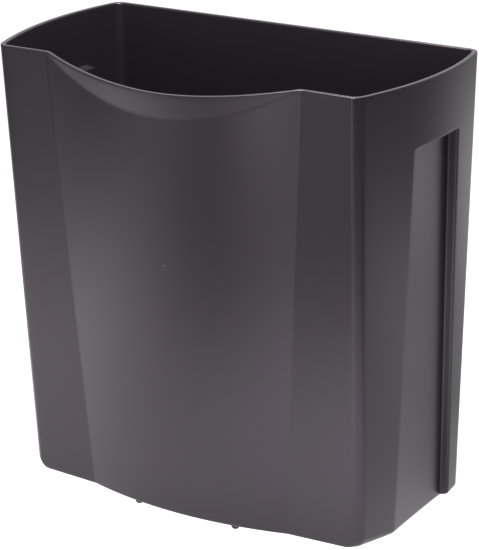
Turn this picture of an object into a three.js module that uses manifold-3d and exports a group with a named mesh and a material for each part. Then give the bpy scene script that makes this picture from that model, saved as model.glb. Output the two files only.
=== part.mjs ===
// Pull-out waste bin: one moulded, open-topped tub standing on four push-in feet.
// Millimetres, +Z up. The front faces -Y. The origin is on the ground, under the middle of the box.

import * as THREE from 'three';
import { ParametricGeometry } from 'three/addons/geometries/ParametricGeometry.js';
import { mergeVertices } from 'three/addons/utils/BufferGeometryUtils.js';
import Module from 'manifold-3d';

const wasm = await Module();
wasm.setup();

// Driving dimensions of the tub. Heights count from the tub's underside.
const FOOT_HEIGHT = 5;
const TUB_HEIGHT = 360.7;
const WALL = 4;
const FLOOR = 4;
const SIDE_ROUND = 9; // radius where the side walls turn into the floor
const REAR_ROUND = 7; // radius of the two rear vertical corners

// Half outline in plan at the rim and at the underside; every wall between them is straight.
const RIM = {
  creaseX: 116.5, creaseY: -72.25,
  frontX: 160, frontY: -72.25,
  cornerX: 165.6, cornerY: -66.95,
  rearX: 170.5, rearY: 95.5,
  sideBow: 13.3, bellyBow: 20,
};
const BASE = {
  creaseX: 93, creaseY: -64.55,
  frontX: 151.5, frontY: -61.25,
  cornerX: 157.1, cornerY: -55.95,
  rearX: 160, rearY: 86.65,
  sideBow: 7.5, bellyBow: 13,
};

// Scooped front lip: the rim dips between the two creases and flares forward above the belly.
const RIM_DIP = 11.9;
const RIM_DIP_POWER = 1.8;
const BELLY_DIP = 32.5;
const LIP_BOW = 23.5; // how far the middle of the dipped rim stands in front of its creases

// Grip recess in each side wall: a ramp that deepens to the rear and ends in a step.
const RECESS_TOP = 310;
const RECESS_AT_TOP = { frontY: -13.5, valleyY: 49.6, depth: 8 };
const RECESS_AT_BASE = { frontY: -20.4, valleyY: 62.6, depth: 6.5 };
const STEP_SLANT = 1.5;

// Push-in feet
const FOOT_RADIUS = 3.6;
const FOOT_TIP_RADIUS = 1.5; // flat at the bottom of the domed button
const STEM_RADIUS = 1.9;
const HOLE_RADIUS = 2.2;
const BARB_RADIUS = 2.6;
const GAP = 0.3;
const FRONT_FOOT = { x: 46.5, y: -66.8 };
const REAR_FOOT = { x: 110, y: 70 };

// How finely curves are divided
const BELLY_STEPS = 24;
const SIDE_STEPS = 14;
const CORNER_STEPS = 3;
const FLOOR_STEPS = 4;
const FOOT_SIDES = 24;

const mix = THREE.MathUtils.lerp;

// Linear mix of the rim and base outlines at a height.
function sectionAt(height) {
  const t = height / TUB_HEIGHT;
  const section = {};
  for (const key of Object.keys(RIM)) section[key] = mix(BASE[key], RIM[key], t);
  return section;
}

// Across the belly, u runs from -1 at the left crease to 1 at the right crease.
const bellyTop = (u) => TUB_HEIGHT - BELLY_DIP * (1 - u * u);
const rimTop = (u) => TUB_HEIGHT - RIM_DIP * (1 - Math.abs(u) ** RIM_DIP_POWER);

function bellyPoint(u, height) {
  const section = sectionAt(height);
  const crown = 1 - u * u;
  const crease = bellyTop(u);
  const rise = height - crease;
  if (rise <= 0) return new THREE.Vector2(u * section.creaseX, section.creaseY - section.bellyBow * crown);
  const foot = sectionAt(crease);
  const lipFlare = (LIP_BOW - foot.bellyBow) / (BELLY_DIP - RIM_DIP);
  const forward = foot.bellyBow * crown + lipFlare * rise;
  return new THREE.Vector2(u * section.creaseX, section.creaseY - forward);
}

// The bowed side wall; t runs from its front corner to its rear corner.
function sidePoint(section, t) {
  const bow = section.sideBow * 4 * t * (1 - t);
  const x = mix(section.cornerX, section.rearX, t) + bow;
  return new THREE.Vector2(x, mix(section.cornerY, section.rearY, t));
}

function sideX(y, height) {
  const section = sectionAt(height);
  return sidePoint(section, (y - section.cornerY) / (section.rearY - section.cornerY)).x;
}

const mirrored = (points) => points.map((p) => new THREE.Vector2(-p.x, p.y)).reverse();

// Moves every point of a counter-clockwise outline inwards by a wall thickness.
function insetOutline(outline, distance) {
  return outline.map((point, i) => {
    const before = outline[(i + outline.length - 1) % outline.length];
    const after = outline[(i + 1) % outline.length];
    const a = point.clone().sub(before).normalize();
    const b = after.clone().sub(point).normalize();
    const normal = new THREE.Vector2(-a.y - b.y, a.x + b.x).divideScalar(1 + a.dot(b));
    return point.clone().addScaledVector(normal, distance);
  });
}

function roundedCorner(before, corner, after, radius) {
  const start = corner.clone().add(before.clone().sub(corner).setLength(radius));
  const end = corner.clone().add(after.clone().sub(corner).setLength(radius));
  return new THREE.QuadraticBezierCurve(start, corner, end).getPoints(CORNER_STEPS);
}

// The whole outline at one height, counter-clockwise from the left crease, always with the same
// number of points. sideInset draws the side walls in near the floor.
function outlineAt(height, sideInset, wall) {
  const section = sectionAt(height);
  for (const key of ['frontX', 'cornerX', 'rearX']) section[key] -= sideInset;
  const belly = [];
  for (let i = 0; i <= BELLY_STEPS; i += 1) belly.push(bellyPoint((2 * i) / BELLY_STEPS - 1, height));
  const side = [new THREE.Vector2(section.frontX, section.frontY)];
  for (let i = 0; i <= SIDE_STEPS; i += 1) side.push(sidePoint(section, i / SIDE_STEPS));
  const outline = insetOutline([...belly, ...side, ...mirrored(side)], wall);
  const rear = belly.length + side.length;
  const radius = Math.max(REAR_ROUND - wall, 0.5);
  const right = roundedCorner(outline[rear - 2], outline[rear - 1], outline[rear], radius);
  const left = roundedCorner(outline[rear - 1], outline[rear], outline[rear + 1], radius);
  outline.splice(rear - 1, 2, ...right, ...left);
  return outline;
}

const COLUMNS = outlineAt(0, 0, 0).length;

// One ring of the tub's skin. heightOf gives each belly column its own height.
function skinRing(heightOf, sideInset, wall) {
  const ring = [];
  for (let column = 0; column < COLUMNS; column += 1) {
    const u = (2 * column) / BELLY_STEPS - 1;
    const height = heightOf(Math.min(u, 1));
    const point = outlineAt(height, sideInset, wall)[column];
    ring.push(new THREE.Vector3(point.x, point.y, FOOT_HEIGHT + height));
  }
  return ring;
}

// Rings that carry the side walls round into the floor with the given radius.
function floorRings(radius, wall) {
  const rings = [];
  for (let i = 0; i <= FLOOR_STEPS; i += 1) {
    const angle = (i / FLOOR_STEPS) * (Math.PI / 2);
    const height = SIDE_ROUND - radius * Math.cos(angle);
    rings.push(skinRing(() => height, radius * (1 - Math.sin(angle)), wall));
  }
  return rings;
}

const flatPole = (ring, z) => ring.map(() => new THREE.Vector3(0, 0, z));

// A closed solid skinned over rings of equal length, from its bottom pole to its top pole.
function skinnedSolid(rings) {
  const columns = rings[0].length;
  const place = (u, v, target) => {
    const column = Math.round(u * columns) % columns;
    target.copy(rings[Math.round(v * (rings.length - 1))][column]);
  };
  return solidFrom(new ParametricGeometry(place, columns, rings.length - 1));
}

// Welds a closed three.js geometry and hands it to the solid kernel.
function solidFrom(geometry) {
  const bare = geometry.clone();
  bare.deleteAttribute('normal');
  bare.deleteAttribute('uv');
  const welded = mergeVertices(bare, 1e-3);
  const index = welded.index.array;
  const triangles = [];
  for (let i = 0; i < index.length; i += 3) {
    const [a, b, c] = index.slice(i, i + 3);
    if (a !== b && b !== c && c !== a) triangles.push(a, b, c);
  }
  const mesh = new wasm.Mesh({
    numProp: 3,
    vertProperties: new Float32Array(welded.attributes.position.array),
    triVerts: new Uint32Array(triangles),
  });
  return new wasm.Manifold(mesh);
}

function geometryFrom(solid) {
  const mesh = solid.getMesh();
  const geometry = new THREE.BufferGeometry();
  geometry.setAttribute('position', new THREE.BufferAttribute(mesh.vertProperties, 3));
  geometry.setIndex(new THREE.BufferAttribute(mesh.triVerts, 1));
  geometry.computeVertexNormals();
  return geometry;
}

function outerBody() {
  const rings = floorRings(SIDE_ROUND, 0);
  const rim = skinRing(rimTop, 0, 0);
  rings.push(skinRing(bellyTop, 0, 0), rim, skinRing(rimTop, 0, 2 * WALL));
  return skinnedSolid([flatPole(rim, FOOT_HEIGHT), ...rings, flatPole(rim, FOOT_HEIGHT + TUB_HEIGHT)]);
}

function cavity() {
  const rings = floorRings(SIDE_ROUND - FLOOR, WALL);
  const above = TUB_HEIGHT + 10;
  rings.push(skinRing(bellyTop, 0, WALL), skinRing(rimTop, 0, WALL), skinRing(() => above, 0, WALL));
  const bottom = flatPole(rings[0], FOOT_HEIGHT + FLOOR);
  return skinnedSolid([bottom, ...rings, flatPole(rings[0], FOOT_HEIGHT + above)]);
}

// Wedge that cuts one grip recess. grow makes the same wedge larger, for the bulge that keeps the
// wall its full thickness behind the recess.
function recessWedge(side, grow) {
  const ring = (height) => {
    const t = height / RECESS_TOP;
    const frontY = mix(RECESS_AT_BASE.frontY, RECESS_AT_TOP.frontY, t);
    const valleyY = mix(RECESS_AT_BASE.valleyY, RECESS_AT_TOP.valleyY, t);
    const depth = mix(RECESS_AT_BASE.depth, RECESS_AT_TOP.depth, t);
    const front = new THREE.Vector2(sideX(frontY, height) - grow, frontY);
    const valley = new THREE.Vector2(sideX(valleyY, height) - depth - grow, valleyY + grow);
    const lead = front.clone().lerp(valley, -0.3);
    const rear = new THREE.Vector2(valley.x + depth + grow, valley.y + STEP_SLANT);
    const outside = new THREE.Vector2(valley.x + 40, lead.y);
    const outsideRear = new THREE.Vector2(outside.x, rear.y + STEP_SLANT);
    let plan = [valley, lead, outside, outsideRear, rear];
    if (side < 0) plan = mirrored(plan);
    return plan.map((p) => new THREE.Vector3(p.x, p.y, FOOT_HEIGHT + height));
  };
  const low = ring(-10);
  const high = ring(RECESS_TOP + grow);
  const pole = (corners) => {
    const centre = new THREE.Vector3();
    for (const corner of corners) centre.add(corner);
    centre.divideScalar(corners.length);
    return corners.map(() => centre);
  };
  return skinnedSolid([pole(low), low, high, pole(high)]);
}

function footPlaces() {
  const places = [];
  for (const [end, place] of [['front', FRONT_FOOT], ['rear', REAR_FOOT]]) {
    places.push({ name: `foot_${end}_left`, x: -place.x, y: place.y });
    places.push({ name: `foot_${end}_right`, x: place.x, y: place.y });
  }
  return places;
}

function tub() {
  let body = outerBody();
  let hollow = cavity();
  for (const side of [-1, 1]) {
    body = body.subtract(recessWedge(side, 0));
    hollow = hollow.subtract(recessWedge(side, WALL));
  }
  body = body.subtract(hollow);
  for (const place of footPlaces()) {
    const drill = new THREE.CylinderGeometry(HOLE_RADIUS, HOLE_RADIUS, 4 * FLOOR, FOOT_SIDES);
    drill.rotateX(Math.PI / 2);
    drill.translate(place.x, place.y, FOOT_HEIGHT);
    body = body.subtract(solidFrom(drill));
  }
  const material = new THREE.MeshStandardMaterial({ color: 0x4b484c, roughness: 0.45, metalness: 0 });
  const mesh = new THREE.Mesh(geometryFrom(body), material);
  mesh.name = 'tub';
  return mesh;
}

// A rubber foot: a domed button under the floor, a stem through it, and a barb that holds it from above.
function foot(place) {
  const floorTop = FOOT_HEIGHT + FLOOR;
  const at = (x, y) => new THREE.Vector2(x, y);
  const dome = new THREE.QuadraticBezierCurve(
    at(FOOT_TIP_RADIUS, 0), at(FOOT_RADIUS, 0.4), at(FOOT_RADIUS, FOOT_HEIGHT - 1),
  ).getPoints(5);
  const profile = [
    at(0, 0), ...dome, at(FOOT_RADIUS, FOOT_HEIGHT - GAP),
    at(STEM_RADIUS, FOOT_HEIGHT - GAP), at(STEM_RADIUS, floorTop + GAP),
    at(BARB_RADIUS, floorTop + GAP), at(STEM_RADIUS / 2, floorTop + 3), at(0, floorTop + 3),
  ];
  const turned = new THREE.LatheGeometry(profile, FOOT_SIDES);
  turned.rotateX(Math.PI / 2);
  const material = new THREE.MeshStandardMaterial({ color: 0x333135, roughness: 0.8, metalness: 0 });
  const mesh = new THREE.Mesh(geometryFrom(solidFrom(turned)), material);
  mesh.name = place.name;
  mesh.position.set(place.x, place.y, 0);
  return mesh;
}

const bin = new THREE.Group();
bin.add(tub());
for (const place of footPlaces()) bin.add(foot(place));

export default bin;
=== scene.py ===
"""Open-topped moulded waste bin on push-in feet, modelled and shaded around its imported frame."""

import math
from functools import lru_cache

import bmesh
import bpy
from bpy.props import FloatProperty, FloatVectorProperty, IntProperty, PointerProperty
from mathutils import Matrix, Vector


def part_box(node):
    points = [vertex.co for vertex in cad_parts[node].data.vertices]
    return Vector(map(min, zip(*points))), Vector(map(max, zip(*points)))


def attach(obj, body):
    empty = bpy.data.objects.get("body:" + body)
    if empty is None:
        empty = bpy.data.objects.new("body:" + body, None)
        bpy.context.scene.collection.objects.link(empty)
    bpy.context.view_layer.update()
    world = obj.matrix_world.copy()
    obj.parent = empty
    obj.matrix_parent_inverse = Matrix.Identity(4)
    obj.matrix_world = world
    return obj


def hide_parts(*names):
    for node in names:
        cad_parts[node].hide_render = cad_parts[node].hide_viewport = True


bl_info = {
    "name": "Moulded Waste Bin",
    "version": (1, 0, 0),
    "blender": (4, 5, 0),
    "location": "View3D > Sidebar > Waste Bin",
    "description": "Models the tub, its feet and a plain studio stage around the packed frame",
    "category": "Object",
}

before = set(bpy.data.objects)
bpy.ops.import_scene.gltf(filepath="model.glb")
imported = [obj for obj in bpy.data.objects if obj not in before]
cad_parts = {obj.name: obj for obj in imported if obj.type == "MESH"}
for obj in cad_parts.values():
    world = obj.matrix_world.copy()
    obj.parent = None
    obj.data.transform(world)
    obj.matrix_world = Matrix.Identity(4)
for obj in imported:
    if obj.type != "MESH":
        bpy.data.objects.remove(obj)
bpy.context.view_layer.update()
TUB_LOW, TUB_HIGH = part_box("tub")
FEET = sorted(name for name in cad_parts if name.startswith("foot"))
MM = 0.001
MERGE = 1e-6

# Half outline of the tub in plan, in millimetres, at the rim and at the underside.
# Every wall between the two is straight, and heights count from the tub's underside.
TUB_HEIGHT = (TUB_HIGH.z - TUB_LOW.z) / MM
RIM = {
    "crease_x": 116.5, "crease_y": -72.25,
    "front_x": 160.0, "front_y": -72.25,
    "corner_x": 165.6, "corner_y": -66.95,
    "rear_x": 170.5, "rear_y": TUB_HIGH.y / MM,
    "side_bow": 13.3, "belly_bow": 20.0,
}
BASE = {
    "crease_x": 93.0, "crease_y": -64.55,
    "front_x": 151.5, "front_y": -61.25,
    "corner_x": 157.1, "corner_y": -55.95,
    "rear_x": 160.0, "rear_y": 86.65,
    "side_bow": 7.5, "belly_bow": 13.0,
}
RIM_DIP = 11.9
RIM_DIP_POWER = 1.8
BELLY_DIP = 32.5
LIP_BOW = 23.5
RECESS_TOP = 310.0
RECESS_AT_TOP = {"front_y": -13.5, "valley_y": 49.6, "depth": 8.0}
RECESS_AT_BASE = {"front_y": -20.4, "valley_y": 62.6, "depth": 6.5}
STEP_SLANT = 1.5

# Power that crowds the ramp's columns towards the valley, and the step that finds a curve's direction.
RAMP_CROWDING = 1.3
SHORT_STEP = 0.001

# Soft edges of the outline: how far each blend reaches on both sides of its corner.
FRONT_EDGE_BLEND = 1.7
VALLEY_BLEND = 1.1
STEP_BLEND = 1.9
CORNER_ROUND_OUTSIDE, CORNER_ROUND_INSIDE = 2.2, 1.2
REAR_ROUND_OUTSIDE, REAR_ROUND_INSIDE = 7.0, 6.0

# Fillet inside along the front and rear of the floor, and the round of the ledge's front end.
# Behind the recess's front edge, the side wall's bottom round shrinks to its rear share.
FLOOR_FILLET = 2.0
LEDGE_ROUND = 3.5
REAR_SHARE = 0.35

# Stretches of half an outline, from the middle of the front to the middle of the rear, and their steps.
STRETCHES = (
    ("belly", 47), ("crease", 6), ("facet", 7), ("front", 5), ("chamfer", 1), ("corner", 5),
    ("side_front", 13), ("recess_front", 6), ("ramp", 17), ("valley", 5), ("step_face", 2), ("step", 7),
    ("strip", 9), ("rear", 5), ("back", 11),
)

# Rows near the recess's ledge: height over the ledge, and how far the recess is still open there.
LEDGE_ROWS = (
    (-5.0, 1.0), (-3.0, 1.0), (-1.8, 1.0), (-1.0, 0.99), (-0.5, 0.965), (-0.2, 0.89), (-0.05, 0.72),
    (0.05, 0.45), (0.15, 0.22), (0.35, 0.09), (0.75, 0.025), (1.4, 0.0), (3.0, 0.0),
)
ROOM_UNDER_LEDGE = 6.0
ROOM_OVER_LEDGE = 4.0

# Rows near the bend under the lip: height over the bend, which always stays its least drop under the top.
BEND_ROWS = (-3.0, -2.0, -1.2, -0.5, 0.0, 0.5, 1.2, 2.0)
LEAST_BEND_DROP = 6.0

# Rows round the bottom edge: height over the underside, and over the floor inside.
OUTSIDE_BOTTOM_ROWS = (0.0, 0.1, 0.35, 0.75, 1.5, 2.6, 4.0, 5.6, 7.2)
INSIDE_BOTTOM_ROWS = (0.0, 0.08, 0.3, 0.7, 1.3, 2.2, 3.4)

# A foot, in millimetres: its hole, the air round it, the button's straight skirt, its chamfer and its barb.
FOOT_HOLE = 2.2
HOLE_SIDES = 32
FOOT_GAP = 0.3
BUTTON_SKIRT = 1.2
BUTTON_CHAMFER = 0.4
BARB_LEAD = 0.2
BARB_RISE = 0.3


# ---------------------------------------------------------------------------------------------
# Settings
# ---------------------------------------------------------------------------------------------


class TubSettings(bpy.types.PropertyGroup):
    """Wall and edge sizes of the moulded tub, and its plastic."""

    wall: FloatProperty(name="Wall", description="Wall thickness", default=0.004, unit="LENGTH")
    rim_round: FloatProperty(
        name="Rim round", description="Radius of both edges of the rim", default=0.0010, unit="LENGTH"
    )
    side_round: FloatProperty(
        name="Side round", description="Radius from the side walls into the floor", default=0.009,
        unit="LENGTH",
    )
    front_round: FloatProperty(
        name="Front round", description="Radius of the front and rear bottom edges", default=0.0015,
        unit="LENGTH",
    )
    crease_round: FloatProperty(
        name="Crease blend", description="Half width of the soft creases beside the belly", default=0.0011,
        unit="LENGTH",
    )
    lip_blend: FloatProperty(
        name="Lip blend", description="Half height of the soft bend under the scooped lip", default=0.0016,
        unit="LENGTH",
    )
    colour: FloatVectorProperty(
        name="Colour", description="Colour of the plastic", subtype="COLOR", default=(0.0135, 0.011, 0.014),
    )
    roughness: FloatProperty(
        name="Roughness", description="Satin of the plastic", default=0.3, min=0.0, max=1.0
    )
    dust: FloatProperty(
        name="Dust", description="Share of dust specks that show", default=0.35, min=0.0, max=1.0
    )


class FootSettings(bpy.types.PropertyGroup):
    """Sizes of the push-in feet, and their rubber."""

    radius: FloatProperty(name="Radius", description="Radius of the button", default=0.0036, unit="LENGTH")
    tip_radius: FloatProperty(
        name="Tip radius", description="Flat that stands on the ground", default=0.0015, unit="LENGTH"
    )
    stem_radius: FloatProperty(name="Stem", description="Radius of the stem", default=0.0019, unit="LENGTH")
    barb_radius: FloatProperty(name="Barb", description="Radius of the barb", default=0.0026, unit="LENGTH")
    sides: IntProperty(name="Sides", description="Steps round a foot", default=48)
    colour: FloatVectorProperty(
        name="Colour", description="Colour of the rubber", subtype="COLOR", default=(0.02, 0.018, 0.021),
    )


class StageSettings(bpy.types.PropertyGroup):
    """Camera, floor and light of the studio."""

    camera_place: FloatVectorProperty(
        name="Camera", description="Where the camera stands", subtype="TRANSLATION",
        default=(1.0265, -1.4930, 0.8190),
    )
    turn: FloatProperty(
        name="Turn", description="Heading to the left of +Y", subtype="ANGLE", default=math.radians(34.243)
    )
    tilt: FloatProperty(
        name="Tilt", description="Rise of the view", subtype="ANGLE", default=math.radians(-19.368)
    )
    roll: FloatProperty(
        name="Roll", description="Turn of the view about its middle", subtype="ANGLE",
        default=math.radians(-1.302),
    )
    lens: FloatProperty(name="Lens", description="Focal length in millimetres", default=158.63)
    top_place: FloatVectorProperty(
        name="Top place", description="Where the overhead softbox hangs", subtype="TRANSLATION",
        default=(0.0, -0.03, 1.1),
    )
    top_width: FloatProperty(
        name="Top width", description="Width of the softbox", default=0.4, unit="LENGTH"
    )
    top_depth: FloatProperty(
        name="Top depth", description="Depth of the softbox", default=0.1, unit="LENGTH"
    )
    top_power: FloatProperty(
        name="Top", description="Power of the overhead softbox", default=22.0, unit="POWER"
    )
    floor_glow: FloatProperty(
        name="Floor glow", description="Light of the floor away from its pools", default=0.2
    )
    side_air: FloatProperty(name="Side air", description="Brightness of the room at the sides", default=0.0)
    end_air: FloatProperty(
        name="End air", description="Brightness of the room in front and behind", default=0.95
    )


# ---------------------------------------------------------------------------------------------
# Shape of the tub
# ---------------------------------------------------------------------------------------------


def mix(low, high, share):
    return low + (high - low) * share


def unit(vector):
    return vector / vector.length


def inward(direction):
    """The normal to the left of a direction of travel, which is into the tub."""
    return unit(Vector((-direction.y, direction.x)))


def set_in(point, before, after, distance):
    """A corner moved inwards, so that both of its walls move by the distance."""
    first, second = inward(before), inward(after)
    return point + (first + second) * (distance / (1 + first.dot(second)))


def towards(start, end, distance):
    return start + unit(end - start) * distance


def rounded(start, corner, end, share):
    """A point on the soft curve that replaces a corner."""
    return start.lerp(corner, share).lerp(corner.lerp(end, share), share)


def spread(start, end, count):
    """Even values from start to end, both counted."""
    return [mix(start, end, i / (count - 1)) for i in range(count)]


def belly_bend(u):
    """Height of the bend under the lip, where u is 0 in the middle and 1 at the crease."""
    return TUB_HEIGHT - BELLY_DIP * (1 - u * u)


def rim_top(u):
    """Height of the rim, which dips in the middle of the front."""
    return TUB_HEIGHT - RIM_DIP * (1 - abs(u) ** RIM_DIP_POWER)


def sizes_at(height):
    """The half outline's sizes at a height."""
    share = height / TUB_HEIGHT
    return {key: mix(BASE[key], RIM[key], share) for key in RIM}


def side_share(sizes, y):
    """How far along the side wall y lies: 0 at the front corner, 1 at the rear corner."""
    return (y - sizes["corner_y"]) / (sizes["rear_y"] - sizes["corner_y"])


def side_point(sizes, share):
    """A point of the bowed side wall's outer skin."""
    bow = sizes["side_bow"] * 4 * share * (1 - share)
    x = mix(sizes["corner_x"], sizes["rear_x"], share) + bow
    return Vector((x, mix(sizes["corner_y"], sizes["rear_y"], share)))


class Outline:
    """The right half of the tub's outline at one height, set in by a wall thickness."""

    def __init__(self, height, wall, side_inset, edge_inset):
        tub = bpy.context.scene.bin_tub
        self.height, self.wall = height, wall
        self.sizes = sizes_at(height)
        for key in ("front_x", "corner_x", "rear_x"):
            self.sizes[key] -= side_inset
        for key in ("crease_y", "front_y", "corner_y"):
            self.sizes[key] += edge_inset
        self.sizes["rear_y"] -= edge_inset
        self.lip_blend = tub.lip_blend / MM
        self.crease_round = tub.crease_round / MM
        self.set_corners()
        self.set_recess()

    def belly_skin(self, u):
        """A point of the bowed front's outer skin, which flares forward over the bend."""
        crown = 1 - u * u
        bend = belly_bend(u)
        rise = self.height - bend
        if rise <= -self.lip_blend:
            forward = self.sizes["belly_bow"] * crown
        else:
            bend_bow = sizes_at(bend)["belly_bow"]
            flare = (LIP_BOW - bend_bow) / (BELLY_DIP - RIM_DIP)
            slope = (RIM["belly_bow"] - BASE["belly_bow"]) / TUB_HEIGHT
            lifted = max(rise, 0.0)
            if abs(rise) < self.lip_blend:
                lifted = (rise + self.lip_blend) ** 2 / (4 * self.lip_blend)
            forward = bend_bow * crown + min(rise, 0.0) * slope * crown + flare * lifted
        return Vector((u * self.sizes["crease_x"], self.sizes["crease_y"] - forward))

    def belly(self, u):
        along = self.belly_skin(u + SHORT_STEP) - self.belly_skin(u - SHORT_STEP)
        return self.belly_skin(u) + inward(along) * self.wall

    def side(self, y):
        """The point of the plain side wall that lies at y, apart from the small turn of its normal."""
        share = side_share(self.sizes, y)
        along = side_point(self.sizes, share + SHORT_STEP) - side_point(self.sizes, share - SHORT_STEP)
        return side_point(self.sizes, share) + inward(along) * self.wall

    def set_corners(self):
        s, wall = self.sizes, self.wall
        crease = Vector((s["crease_x"], s["crease_y"]))
        front = Vector((s["front_x"], s["front_y"]))
        corner = Vector((s["corner_x"], s["corner_y"]))
        rear = Vector((s["rear_x"], s["rear_y"]))
        belly_end = self.belly_skin(1.0) - self.belly_skin(1 - 2 * SHORT_STEP)
        side_start = side_point(s, 2 * SHORT_STEP) - side_point(s, 0.0)
        side_end = side_point(s, 1.0) - side_point(s, 1 - 2 * SHORT_STEP)
        self.crease = set_in(crease, belly_end, front - crease, wall)
        self.front = set_in(front, front - crease, corner - front, wall)
        self.corner = set_in(corner, corner - front, side_start, wall)
        self.rear = set_in(rear, side_end, Vector((-1.0, 0.0)), wall)
        depth_share = wall / (bpy.context.scene.bin_tub.wall / MM)
        self.corner_round = mix(CORNER_ROUND_OUTSIDE, CORNER_ROUND_INSIDE, depth_share)
        self.rear_round = mix(REAR_ROUND_OUTSIDE, REAR_ROUND_INSIDE, depth_share)

    def set_recess(self):
        """Corners of the grip recess; each is also the place of a column above the recess."""
        share = self.height / RECESS_TOP
        recess = {key: mix(RECESS_AT_BASE[key], RECESS_AT_TOP[key], share) for key in RECESS_AT_TOP}
        valley_y = recess["valley_y"]
        full = sizes_at(self.height)
        valley_x = side_point(full, side_share(full, valley_y)).x - recess["depth"] - self.wall
        self.recess_front = self.side(recess["front_y"])
        self.valley = Vector((valley_x, valley_y + self.wall))
        self.step = self.side(self.valley.y + STEP_SLANT)


@lru_cache(maxsize=4096)
def outline(height, wall, side_inset, edge_inset):
    return Outline(height, wall, side_inset, edge_inset)


def tub_columns():
    """The stations round half of the tub, from the middle of the front to the middle of the rear."""
    columns = [(STRETCHES[0][0], 0.0)]
    for kind, steps in STRETCHES:
        columns += [(kind, share) for share in spread(0.0, 1.0, steps + 1)[1:]]
    return columns


def recess_point(shape, kind, share):
    """A point of the side wall on the outline that runs through the grip recess."""
    front, valley, step = shape.recess_front, shape.valley, shape.step
    ramp_start = towards(front, valley, FRONT_EDGE_BLEND)
    ramp_end = towards(valley, front, VALLEY_BLEND)
    face_start = towards(valley, step, VALLEY_BLEND)
    face_end = towards(step, valley, STEP_BLEND)
    if kind == "recess_front":
        return rounded(shape.side(front.y - FRONT_EDGE_BLEND), front, ramp_start, share)
    if kind == "ramp":
        return ramp_start.lerp(ramp_end, 1 - (1 - share) ** RAMP_CROWDING)
    if kind == "valley":
        return rounded(ramp_end, valley, face_start, share)
    if kind == "step_face":
        return face_start.lerp(face_end, share)
    return rounded(face_end, step, shape.side(step.y + STEP_BLEND), share)


def outline_point(column, shape, opened):
    """A point of the half outline. opened is 1 in the grip recess and 0 on the plain wall."""
    kind, share = column
    blend = shape.crease_round
    belly_end = 1 - blend / shape.sizes["crease_x"]
    facet_start = towards(shape.crease, shape.front, blend)
    facet_end = towards(shape.front, shape.crease, shape.corner_round)
    chamfer_start = towards(shape.front, shape.corner, shape.corner_round)
    chamfer_end = towards(shape.corner, shape.front, shape.corner_round)
    side_start = shape.side(shape.corner.y + shape.corner_round)
    side_end = shape.side(shape.rear.y - shape.rear_round)
    back_start = Vector((shape.rear.x - shape.rear_round, shape.rear.y))
    if kind == "belly":
        return shape.belly(share * belly_end)
    if kind == "crease":
        return rounded(shape.belly(belly_end), shape.crease, facet_start, share)
    if kind == "facet":
        return facet_start.lerp(facet_end, share)
    if kind == "front":
        return rounded(facet_end, shape.front, chamfer_start, share)
    if kind == "chamfer":
        return chamfer_start.lerp(chamfer_end, share)
    if kind == "corner":
        return rounded(chamfer_end, shape.corner, side_start, share)
    if kind == "side_front":
        return shape.side(mix(side_start.y, shape.recess_front.y - FRONT_EDGE_BLEND, share))
    if kind == "strip":
        return shape.side(mix(shape.step.y + STEP_BLEND, side_end.y, share))
    if kind == "rear":
        return rounded(side_end, shape.rear, back_start, share)
    if kind == "back":
        return Vector((back_start.x * (1 - share), back_start.y))
    cut = recess_point(shape, kind, share)
    return shape.side(cut.y).lerp(cut, opened)


def belly_share(column):
    """How far across the belly a column stands: 0 in the middle, 1 at the crease and beyond."""
    kind, share = column
    return share if kind == "belly" else 1.0


def ledge_height(column, wall):
    """Height of the recess's ledge, whose front end is rounded off."""
    kind, share = column
    top = RECESS_TOP + wall
    if kind == "side_front":
        return top - LEDGE_ROUND * share
    if kind not in ("recess_front", "ramp"):
        return top
    shape = outline(RECESS_TOP, wall, 0.0, 0.0)
    along = recess_point(shape, kind, share).y - RECESS_AT_TOP["front_y"]
    return top - round_inset(LEDGE_ROUND, along)


def round_inset(radius, height):
    """How far a rounded edge is drawn in at a height over its lowest point."""
    missing = min(max(radius - height, 0.0), radius)
    return radius - math.sqrt(radius**2 - missing**2)


def bottom_round(column, side_round):
    """Radius of the side wall's bottom edge, which tightens from the front corner to the recess."""
    kind, share = column
    if kind in ("belly", "crease", "facet", "front", "chamfer", "corner"):
        return side_round
    return mix(side_round, side_round * REAR_SHARE, share if kind == "side_front" else 1.0)


# A station of a column is its height, how open the recess is there, how deep it lies in the wall,
# and how far the bottom edge draws in its side and its front and rear.


def bottom_stations(column, wall, floor, side_round, edge_round, rises):
    """Stations round the bottom edge of one skin."""
    reach = bottom_round(column, side_round)
    return [
        (floor + rise, 1.0, wall, round_inset(reach, rise), round_inset(edge_round, rise)) for rise in rises
    ]


def wall_stations(column, wall, floor_top, rim_round):
    """Stations up one skin of the wall."""
    u = belly_share(column)
    ledge = ledge_height(column, wall)
    bend = TUB_HEIGHT - max(TUB_HEIGHT - belly_bend(u), LEAST_BEND_DROP)
    room = min((bend - ROOM_OVER_LEDGE - ledge) / LEDGE_ROWS[-1][0], 1.0)
    stations = [(height, 1.0) for height in spread(floor_top, ledge - ROOM_UNDER_LEDGE, 26)[1:-1]]
    for offset, opened in LEDGE_ROWS:
        stations.append((ledge + offset * (room if offset > 0 else 1.0), opened))
    heights = spread(stations[-1][0], bend + BEND_ROWS[0], 6)[1:-1]
    heights += [bend + offset for offset in BEND_ROWS]
    heights += spread(bend + BEND_ROWS[-1], rim_top(u) - rim_round, 5)[1:]
    stations += [(height, 0.0) for height in heights]
    return [(height, opened, wall, 0.0, 0.0) for height, opened in stations]


def rim_stations(column, wall, radius):
    """Stations over the rim, from its outer edge to its inner edge."""
    edge = []
    for degrees in range(15, 91, 15):
        turn = math.radians(degrees)
        edge.append((radius * (math.sin(turn) - 1), radius * (1 - math.cos(turn))))
    over = edge + [(0.0, wall * 0.4), (0.0, wall * 0.6)]
    over += [(drop, wall - inset) for drop, inset in reversed(edge)]
    top = rim_top(belly_share(column))
    return [(top + drop, 0.0, inset, 0.0, 0.0) for drop, inset in over]


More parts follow.
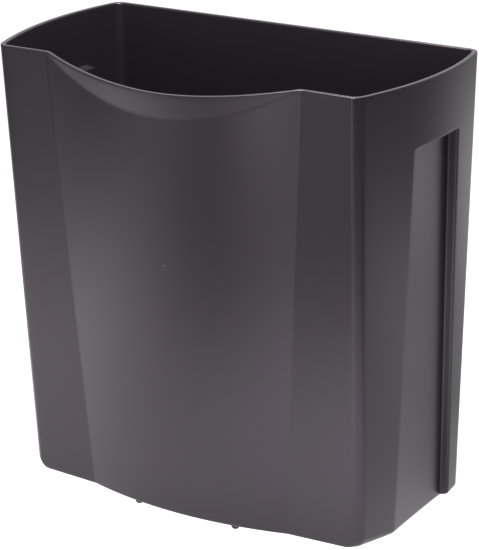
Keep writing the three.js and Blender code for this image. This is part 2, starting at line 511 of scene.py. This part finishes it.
def tub_stations(column):
    """All stations of a column, from the underside over the rim to the top of the floor."""
    tub = bpy.context.scene.bin_tub
    wall, rim_round = tub.wall / MM, tub.rim_round / MM
    side, edge = tub.side_round / MM, tub.front_round / MM
    fillet = side - wall
    stations = bottom_stations(column, 0.0, 0.0, side, edge, (*OUTSIDE_BOTTOM_ROWS, side))
    stations += wall_stations(column, 0.0, side, rim_round)
    stations += rim_stations(column, wall, rim_round)
    stations += reversed(wall_stations(column, wall, side, rim_round))
    inside = bottom_stations(column, wall, wall, fillet, FLOOR_FILLET, (*INSIDE_BOTTOM_ROWS, fillet))
    stations += reversed(inside)
    return stations


def station_place(column, station):
    height, opened, *insets = station
    shape = outline(round(height, 5), *(round(inset, 5) for inset in insets))
    point = outline_point(column, shape, opened)
    return Vector((point.x * MM, point.y * MM, TUB_LOW.z + height * MM))


def tub_rows():
    """Places of the half skin, one row after another up and over the wall."""
    columns = []
    for column in tub_columns():
        columns.append([station_place(column, station) for station in tub_stations(column)])
    return list(zip(*columns))


def raise_row(bm, row, places):
    """Extrudes a row of edges and moves the new row to its places."""
    edges = [bm.edges.get((first, second)) for first, second in zip(row, row[1:])]
    made = bmesh.ops.extrude_edge_only(bm, edges=edges)["geom"]
    fresh = {item for item in made if isinstance(item, bmesh.types.BMVert)}
    partners = [next(e.other_vert(v) for e in v.link_edges if e.other_vert(v) in fresh) for v in row]
    for vert, place in zip(partners, places):
        vert.co = place
    return partners


def ring_of_edges(bm, height):
    """The open edges that lie at a height."""
    found = []
    for edge in bm.edges:
        if edge.is_boundary and all(abs(v.co.z - height) < MERGE for v in edge.verts):
            found.append(edge)
    return found


def close_floor(bm, height):
    """Fills the floor at one height, round a hole for each foot, and returns the holes' edges."""
    rim = ring_of_edges(bm, height)
    holes = []
    for name in FEET:
        low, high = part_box(name)
        middle = (low + high) / 2
        place = Matrix.Translation((middle.x, middle.y, height))
        made = bmesh.ops.create_circle(bm, segments=HOLE_SIDES, radius=FOOT_HOLE * MM, matrix=place)
        edges = {edge for vert in made["verts"] for edge in vert.link_edges}
        holes.append(list(edges))
    every = rim + [edge for hole in holes for edge in hole]
    bmesh.ops.triangle_fill(bm, use_beauty=True, edges=every)
    return holes


def finish_mesh(bm, name, sharp_degrees):
    """Turns a bmesh into an object at the origin with smooth shading broken at sharp edges."""
    mesh = bpy.data.meshes.new(name)
    bm.to_mesh(mesh)
    bm.free()
    mesh.shade_smooth()
    mesh.set_sharp_from_angle(angle=math.radians(sharp_degrees))
    piece = bpy.data.objects.new(name, mesh)
    bpy.context.scene.collection.objects.link(piece)
    return piece


def tub_mesh():
    """Half of the tub raised row by row, mirrored, and closed at the floor."""
    rows = tub_rows()
    bm = bmesh.new()
    row = [bm.verts.new(place) for place in rows[0]]
    for first, second in zip(row, row[1:]):
        bm.edges.new((first, second))
    for places in rows[1:]:
        row = raise_row(bm, row, places)
    bmesh.ops.mirror(bm, geom=bm.verts[:] + bm.edges[:] + bm.faces[:], axis="X", merge_dist=MERGE)
    bmesh.ops.remove_doubles(bm, verts=bm.verts[:], dist=MERGE)
    under = close_floor(bm, TUB_LOW.z)
    over = close_floor(bm, TUB_LOW.z + bpy.context.scene.bin_tub.wall)
    for lower, upper in zip(under, over):
        bmesh.ops.bridge_loops(bm, edges=lower + upper)
    bmesh.ops.recalc_face_normals(bm, faces=bm.faces[:])
    return finish_mesh(bm, "bin_tub", 35)


# ---------------------------------------------------------------------------------------------
# Shape of the feet
# ---------------------------------------------------------------------------------------------


def foot_mesh(node):
    """A domed button with a stem and a barb, turned about its own axis."""
    foot = bpy.context.scene.bin_foot
    low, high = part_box(node)
    middle = (low + high) / 2
    under = TUB_LOW.z - FOOT_GAP * MM
    over = TUB_LOW.z + bpy.context.scene.bin_tub.wall + FOOT_GAP * MM
    dome = []
    for degrees in range(0, 91, 10):
        turn = math.radians(degrees)
        reach = mix(foot.tip_radius, foot.radius, math.sin(turn))
        dome.append((reach, (TUB_LOW.z - BUTTON_SKIRT * MM) * (1 - math.cos(turn))))
    profile = [(0.0, 0.0), *dome]
    profile += [(foot.radius, under - BUTTON_CHAMFER * MM), (foot.radius - BUTTON_CHAMFER * MM, under)]
    profile += [(foot.stem_radius, under), (foot.stem_radius, over)]
    profile += [(foot.barb_radius - BARB_LEAD * MM, over), (foot.barb_radius, over + BARB_RISE * MM)]
    profile += [(foot.stem_radius / 2, high.z - FOOT_GAP * MM), (foot.stem_radius / 4, high.z)]
    profile += [(0.0, high.z)]
    bm = bmesh.new()
    line = [bm.verts.new((middle.x + reach, middle.y, height)) for reach, height in profile]
    edges = [bm.edges.new(pair) for pair in zip(line, line[1:])]
    bmesh.ops.spin(
        bm, geom=line + edges, cent=(middle.x, middle.y, 0.0), axis=(0.0, 0.0, 1.0), dvec=(0.0, 0.0, 0.0),
        angle=math.tau, steps=foot.sides, use_merge=True, use_duplicate=False,
    )
    bmesh.ops.remove_doubles(bm, verts=bm.verts[:], dist=MERGE)
    bmesh.ops.recalc_face_normals(bm, faces=bm.faces[:])
    return finish_mesh(bm, "bin_" + node, 40)


# ---------------------------------------------------------------------------------------------
# Materials
# ---------------------------------------------------------------------------------------------


def node_group(name, inputs, outputs):
    """A new shader group with named value sockets, its input node and its output node."""
    tree = bpy.data.node_groups.new(name, "ShaderNodeTree")
    for label, default in inputs:
        socket = tree.interface.new_socket(name=label, in_out="INPUT", socket_type="NodeSocketFloat")
        socket.default_value = default
    for label in outputs:
        tree.interface.new_socket(name=label, in_out="OUTPUT", socket_type="NodeSocketFloat")
    return tree, tree.nodes.new("NodeGroupInput"), tree.nodes.new("NodeGroupOutput")


def math_node(tree, operation, first, second=None, clamp=False):
    """A Math node; each value is a number or the socket that feeds it."""
    node = tree.nodes.new("ShaderNodeMath")
    node.operation = operation
    node.use_clamp = clamp
    for slot, value in enumerate((first, second)):
        if value is None:
            continue
        if isinstance(value, (int, float)):
            node.inputs[slot].default_value = value
        else:
            tree.links.new(value, node.inputs[slot])
    return node.outputs[0]


def noise_node(tree, scale, detail, roughness=0.5):
    """Noise over the object's own coordinates, at the scale that a socket gives."""
    node = tree.nodes.new("ShaderNodeTexNoise")
    node.inputs["Detail"].default_value = detail
    node.inputs["Roughness"].default_value = roughness
    tree.links.new(object_place(tree), node.inputs["Vector"])
    tree.links.new(scale, node.inputs["Scale"])
    return node.outputs["Fac"]


def object_place(tree):
    return tree.nodes.new("ShaderNodeTexCoord").outputs["Object"]


def grain_group():
    """Fine mould grain: a bump height from two sizes of noise."""
    name = "Moulded Grain"
    if name in bpy.data.node_groups:
        return bpy.data.node_groups[name]
    tree, given, result = node_group(name, [("Scale", 900.0), ("Coarse Share", 0.3)], ["Height"])
    fine = noise_node(tree, given.outputs["Scale"], 3.0, 0.6)
    coarse_scale = math_node(tree, "MULTIPLY", given.outputs["Scale"], 0.12)
    coarse = noise_node(tree, coarse_scale, 2.0)
    weighted = math_node(tree, "MULTIPLY", coarse, given.outputs["Coarse Share"])
    total = math_node(tree, "ADD", fine, weighted)
    tree.links.new(total, result.inputs["Height"])
    return tree


def haze_group():
    """Broad soft unevenness of the skin, from 0 to 1 about a middle of one half."""
    name = "Skin Haze"
    if name in bpy.data.node_groups:
        return bpy.data.node_groups[name]
    tree, given, result = node_group(name, [("Scale", 9.0), ("Contrast", 1.0)], ["Mask"])
    patches = noise_node(tree, given.outputs["Scale"], 4.0, 0.55)
    centred = math_node(tree, "SUBTRACT", patches, 0.5)
    scaled = math_node(tree, "MULTIPLY", centred, given.outputs["Contrast"])
    shown = math_node(tree, "ADD", scaled, 0.5, clamp=True)
    tree.links.new(shown, result.inputs["Mask"])
    return tree


def dust_group():
    """Sparse pale specks: a mask of small dots, of which only a share shows."""
    name = "Dust Specks"
    if name in bpy.data.node_groups:
        return bpy.data.node_groups[name]
    tree, given, result = node_group(name, [("Scale", 70.0), ("Share", 0.3), ("Size", 0.05)], ["Mask"])
    cells = tree.nodes.new("ShaderNodeTexVoronoi")
    tree.links.new(object_place(tree), cells.inputs["Vector"])
    tree.links.new(given.outputs["Scale"], cells.inputs["Scale"])
    split = tree.nodes.new("ShaderNodeSeparateColor")
    tree.links.new(cells.outputs["Color"], split.inputs["Color"])
    chosen = math_node(tree, "LESS_THAN", split.outputs["Red"], given.outputs["Share"])
    size = math_node(tree, "MULTIPLY", split.outputs["Green"], given.outputs["Size"])
    inside = math_node(tree, "LESS_THAN", cells.outputs["Distance"], size)
    shown = math_node(tree, "MULTIPLY", chosen, inside)
    tree.links.new(shown, result.inputs["Mask"])
    return tree


def place_group(tree, group, **values):
    node = tree.nodes.new("ShaderNodeGroup")
    node.node_tree = group
    for label, value in values.items():
        node.inputs[label.replace("_", " ")].default_value = value
    return node


def new_material(name):
    material = bpy.data.materials.new(name)
    material.use_nodes = True
    tree = material.node_tree
    return material, tree, tree.nodes["Principled BSDF"]


def shade(colour, factor):
    return (*[min(channel * factor, 1.0) for channel in colour], 1.0)


def bump_from(tree, height, shader, distance, strength):
    bump = tree.nodes.new("ShaderNodeBump")
    bump.inputs["Distance"].default_value = distance
    bump.inputs["Strength"].default_value = strength
    tree.links.new(height, bump.inputs["Height"])
    tree.links.new(bump.outputs["Normal"], shader.inputs["Normal"])


def ranged(tree, value, low, high):
    node = tree.nodes.new("ShaderNodeMapRange")
    node.inputs["To Min"].default_value = low
    node.inputs["To Max"].default_value = high
    tree.links.new(value, node.inputs["Value"])
    return node.outputs["Result"]


def mixed_colour(tree, factor, first, second):
    node = tree.nodes.new("ShaderNodeMix")
    node.data_type = "RGBA"
    for slot, value in (("A", first), ("B", second)):
        socket = next(s for s in node.inputs if s.name == slot and s.type == "RGBA")
        if isinstance(value, bpy.types.NodeSocket):
            tree.links.new(value, socket)
        else:
            socket.default_value = value
    tree.links.new(factor, node.inputs["Factor"])
    return next(s for s in node.outputs if s.type == "RGBA")


DUST_COLOUR = (0.22, 0.21, 0.2, 1.0)
SHEEN_TINT = (0.98, 0.84, 1.0, 1.0)
ROUGHNESS_SPREAD = 0.03


def tub_material():
    """Satin charcoal polypropylene with a fine grain, a faint haze and a few dust specks."""
    tub = bpy.context.scene.bin_tub
    material, tree, shader = new_material("satin charcoal plastic")
    haze = place_group(tree, haze_group(), Scale=7.0, Contrast=1.4)
    dust = place_group(tree, dust_group(), Scale=60.0, Share=tub.dust * 0.1, Size=0.06)
    grain = place_group(tree, grain_group(), Scale=1400.0, Coarse_Share=0.5)
    skin = mixed_colour(tree, haze.outputs["Mask"], shade(tub.colour, 0.93), shade(tub.colour, 1.07))
    dusty = mixed_colour(tree, dust.outputs["Mask"], skin, DUST_COLOUR)
    tree.links.new(dusty, shader.inputs["Base Color"])
    low_rough, high_rough = tub.roughness - ROUGHNESS_SPREAD, tub.roughness + ROUGHNESS_SPREAD
    rough = ranged(tree, haze.outputs["Mask"], low_rough, high_rough)
    tree.links.new(rough, shader.inputs["Roughness"])
    shader.inputs["IOR"].default_value = 1.5
    shader.inputs["Specular Tint"].default_value = SHEEN_TINT
    bump_from(tree, grain.outputs["Height"], shader, 0.00006, 0.35)
    return material


def foot_material():
    """Matt dark rubber with a fine grain."""
    foot = bpy.context.scene.bin_foot
    material, tree, shader = new_material("dark rubber")
    haze = place_group(tree, haze_group(), Scale=160.0, Contrast=1.6)
    grain = place_group(tree, grain_group(), Scale=2600.0, Coarse_Share=0.6)
    skin = mixed_colour(tree, haze.outputs["Mask"], shade(foot.colour, 0.85), shade(foot.colour, 1.2))
    tree.links.new(skin, shader.inputs["Base Color"])
    rough = ranged(tree, haze.outputs["Mask"], 0.55, 0.7)
    tree.links.new(rough, shader.inputs["Roughness"])
    bump_from(tree, grain.outputs["Height"], shader, 0.00008, 0.6)
    return material


# ---------------------------------------------------------------------------------------------
# Stage
# ---------------------------------------------------------------------------------------------


def add_softbox():
    """A long soft lamp straight above the mouth."""
    stage = bpy.context.scene.bin_stage
    light = bpy.data.lights.new("top softbox", "AREA")
    light.shape = "RECTANGLE"
    light.size, light.size_y = stage.top_width, stage.top_depth
    light.energy = stage.top_power
    lamp = bpy.data.objects.new("top softbox", light)
    lamp.location = stage.top_place
    lamp.visible_camera = False
    bpy.context.scene.collection.objects.link(lamp)


def pool_group():
    """A soft-edged round patch on the floor: 1 in its middle, fading to 0 at its radii."""
    name = "Soft Pool"
    if name in bpy.data.node_groups:
        return bpy.data.node_groups[name]
    inputs = [("X", 0.0), ("Y", 0.0), ("Radius X", 1.0), ("Radius Y", 1.0), ("Core", 0.3)]
    tree, given, result = node_group(name, inputs, ["Mask"])
    split = tree.nodes.new("ShaderNodeSeparateXYZ")
    tree.links.new(object_place(tree), split.inputs["Vector"])
    squares = []
    for axis in ("X", "Y"):
        away = math_node(tree, "SUBTRACT", split.outputs[axis], given.outputs[axis])
        share = math_node(tree, "DIVIDE", away, given.outputs["Radius " + axis])
        squares.append(math_node(tree, "MULTIPLY", share, share))
    reach = math_node(tree, "SQRT", math_node(tree, "ADD", *squares))
    fade = tree.nodes.new("ShaderNodeMapRange")
    fade.interpolation_type = "SMOOTHSTEP"
    tree.links.new(reach, fade.inputs["Value"])
    tree.links.new(given.outputs["Core"], fade.inputs["From Min"])
    fade.inputs["From Max"].default_value = 1.0
    fade.inputs["To Min"].default_value = 1.0
    fade.inputs["To Max"].default_value = 0.0
    tree.links.new(fade.outputs["Result"], result.inputs["Mask"])
    return tree


# Patches of light on the floor: middle, radii, share that is evenly bright, and brightness.
FLOOR_POOLS = {
    "round the bin": (-0.05, -0.15, 0.8, 0.45, 0.3, 1.25),
    "before the right facet": (0.28, -0.42, 0.45, 0.45, 0.0, 1.75),
    "before the left facet": (-0.5, -0.45, 0.4, 0.5, 0.0, 1.15),
    "right": (0.6, 0.25, 0.5, 0.35, 0.1, 1.0),
    "left": (-0.9, 0.0, 0.45, 0.45, 0.0, 0.75),
    "behind": (0.3, 0.9, 0.7, 0.7, 0.0, 0.7),
    "far in front": (0.05, -1.15, 0.4, 0.4, 0.0, 5.0),
    "far front left": (-0.7, -1.15, 0.5, 0.4, 0.0, 2.3),
}


def floor_material(base):
    """Pale matt floor that looks evenly white, with pools of light that the plastic reflects."""
    material, tree, shader = new_material("pale studio floor")
    shader.inputs["Base Color"].default_value = (0.15, 0.15, 0.15, 1.0)
    shader.inputs["Roughness"].default_value = 0.8
    shader.inputs["Specular IOR Level"].default_value = 0.1
    shader.inputs["Emission Color"].default_value = (1.0, 1.0, 1.0, 1.0)
    total = base
    for label, (x, y, radius_x, radius_y, core, gain) in FLOOR_POOLS.items():
        patch = place_group(tree, pool_group(), X=x, Y=y, Radius_X=radius_x, Radius_Y=radius_y, Core=core)
        patch.label = label
        total = math_node(tree, "ADD", math_node(tree, "MULTIPLY", patch.outputs["Mask"], gain), total)
    path = tree.nodes.new("ShaderNodeLightPath")
    shown = math_node(tree, "MAXIMUM", path.outputs["Is Camera Ray"], total)
    tree.links.new(shown, shader.inputs["Emission Strength"])
    return material


def add_floor():
    bm = bmesh.new()
    bmesh.ops.create_grid(bm, x_segments=4, y_segments=4, size=9.0)
    floor = finish_mesh(bm, "studio_floor", 30)
    floor.data.materials.append(floor_material(bpy.context.scene.bin_stage.floor_glow))


def set_world():
    """Even white for the camera, and for reflections a soft room that is brighter at its two ends."""
    stage = bpy.context.scene.bin_stage
    world = bpy.data.worlds.new("studio air")
    bpy.context.scene.world = world
    world.use_nodes = True
    tree = world.node_tree
    split = tree.nodes.new("ShaderNodeSeparateXYZ")
    tree.links.new(tree.nodes.new("ShaderNodeTexCoord").outputs["Generated"], split.inputs["Vector"])
    depth = tree.nodes.new("ShaderNodeMapRange")
    depth.interpolation_type = "SMOOTHSTEP"
    tree.links.new(math_node(tree, "ABSOLUTE", split.outputs["Y"]), depth.inputs["Value"])
    depth.inputs["From Min"].default_value = 0.1
    depth.inputs["From Max"].default_value = 0.9
    depth.inputs["To Min"].default_value = stage.side_air
    depth.inputs["To Max"].default_value = stage.end_air
    path = tree.nodes.new("ShaderNodeLightPath")
    shown = math_node(tree, "MAXIMUM", path.outputs["Is Camera Ray"], depth.outputs["Result"])
    tree.links.new(shown, tree.nodes["Background"].inputs["Strength"])
    tree.nodes["Background"].inputs["Color"].default_value = (1.0, 1.0, 1.0, 1.0)


def add_camera():
    stage = bpy.context.scene.bin_stage
    data = bpy.data.cameras.new("studio camera")
    data.lens = stage.lens
    data.sensor_width = 36.0
    data.clip_end = 50.0
    camera = bpy.data.objects.new("studio_camera", data)
    turn = Matrix.Rotation(stage.turn, 4, "Z")
    tilt = Matrix.Rotation(math.pi / 2 + stage.tilt, 4, "X")
    roll = Matrix.Rotation(stage.roll, 4, "Z")
    camera.matrix_world = Matrix.Translation(stage.camera_place) @ turn @ tilt @ roll
    bpy.context.scene.collection.objects.link(camera)
    bpy.context.scene.camera = camera


# ---------------------------------------------------------------------------------------------
# Operators, panel and registration
# ---------------------------------------------------------------------------------------------


class BIN_OT_add_tub(bpy.types.Operator):
    """Models the moulded tub and gives it its satin plastic"""

    bl_idname = "bin.add_tub"
    bl_label = "Add Tub"

    def execute(self, context):
        tub = tub_mesh()
        tub.data.materials.append(tub_material())
        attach(tub, "root")
        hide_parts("tub")
        return {"FINISHED"}


class BIN_OT_add_feet(bpy.types.Operator):
    """Models the push-in feet under the floor"""

    bl_idname = "bin.add_feet"
    bl_label = "Add Feet"

    def execute(self, context):
        rubber = foot_material()
        for node in FEET:
            foot = foot_mesh(node)
            foot.data.materials.append(rubber)
            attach(foot, "root")
            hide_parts(node)
        return {"FINISHED"}


class BIN_OT_set_stage(bpy.types.Operator):
    """Adds the pale floor, the soft lights and the camera"""

    bl_idname = "bin.set_stage"
    bl_label = "Set Stage"

    def execute(self, context):
        add_floor()
        set_world()
        add_softbox()
        add_camera()
        context.scene.view_settings.view_transform = "Standard"
        return {"FINISHED"}


class BIN_PT_panel(bpy.types.Panel):
    """Lists the bin's operators and settings"""

    bl_idname = "BIN_PT_panel"
    bl_label = "Waste Bin"
    bl_space_type = "VIEW_3D"
    bl_region_type = "UI"
    bl_category = "Waste Bin"

    def draw(self, context):
        scene = context.scene
        for operator, settings in (
            ("bin.add_tub", scene.bin_tub),
            ("bin.add_feet", scene.bin_foot),
            ("bin.set_stage", scene.bin_stage),
        ):
            box = self.layout.box()
            box.operator(operator)
            for name in settings.__annotations__:
                box.prop(settings, name)


CLASSES = (
    TubSettings, FootSettings, StageSettings, BIN_OT_add_tub, BIN_OT_add_feet, BIN_OT_set_stage, BIN_PT_panel,
)


def register():
    for cls in CLASSES:
        bpy.utils.register_class(cls)
    bpy.types.Scene.bin_tub = PointerProperty(type=TubSettings)
    bpy.types.Scene.bin_foot = PointerProperty(type=FootSettings)
    bpy.types.Scene.bin_stage = PointerProperty(type=StageSettings)


def unregister():
    for name in ("bin_tub", "bin_foot", "bin_stage"):
        delattr(bpy.types.Scene, name)
    for cls in reversed(CLASSES):
        bpy.utils.unregister_class(cls)


def main():
    register()
    bpy.ops.bin.add_tub()
    bpy.ops.bin.add_feet()
    bpy.ops.bin.set_stage()


if __name__ == "__main__":
    main()
